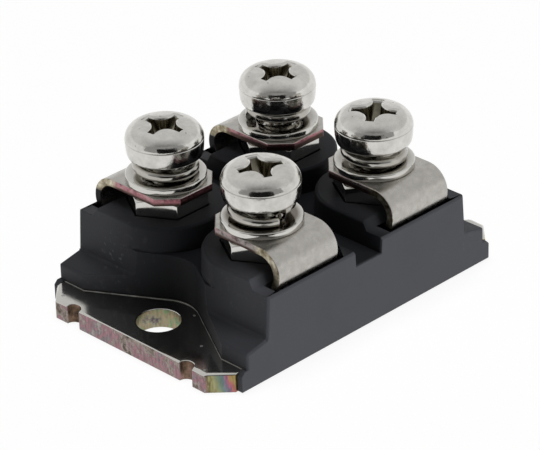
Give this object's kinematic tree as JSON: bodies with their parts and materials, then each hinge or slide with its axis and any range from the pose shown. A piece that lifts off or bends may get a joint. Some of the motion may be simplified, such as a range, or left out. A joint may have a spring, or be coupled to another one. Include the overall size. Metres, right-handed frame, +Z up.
{
  "type": "power mosfet module",
  "caption": "Isolated power MOSFET module: black moulded body on a drilled metal base plate, with bent strip terminals over captive hex nuts and screws with split lock washers.",
  "frame": {"origin": "centre of the base plate's underside", "axes": "+X along the module through both mounting holes, +Z up out of the mounting face"},
  "size_m": [0.038, 0.0252, 0.0175],
  "materials": {
    "moulded_black": "satin black moulding compound",
    "nickel_plate": "nickel plate over copper, worn at its edges",
    "nickel_strip": "satin nickel with sheared copper edges",
    "bright_steel": "bright nickel plate",
    "adhesive": "cured silicone bead",
    "solder": "dull solder",
    "copper": "bare copper",
    "white_ceramic": "fired alumina",
    "silicon": "passivated silicon",
    "aluminium_ribbon": "rolled aluminium",
    "silicone_gel": "clear soft gel"
  },
  "bodies": {
    "root": {"housing": "moulded_black", "base_plate": "nickel_plate", "base_seal": "adhesive", "source_terminal": "nickel_strip", "kelvin_terminal": "nickel_strip", "drain_terminal": "nickel_strip", "gate_terminal": "nickel_strip", "hex_nuts": "bright_steel", "terminal_screws": "bright_steel", "lock_washers": "bright_steel", "plain_washers": "bright_steel", "substrate_solder": "solder", "back_foil": "copper", "ceramic_substrate": "white_ceramic", "drain_pad": "copper", "source_pad": "copper", "gate_pad": "copper", "kelvin_pad": "copper", "die_solder": "solder", "mosfet_die": "silicon", "source_ribbons": "aluminium_ribbon", "gate_ribbon": "aluminium_ribbon", "kelvin_ribbon": "aluminium_ribbon", "terminal_solder": "solder", "gel_fill": "silicone_gel"}
  },
  "joints": []
}
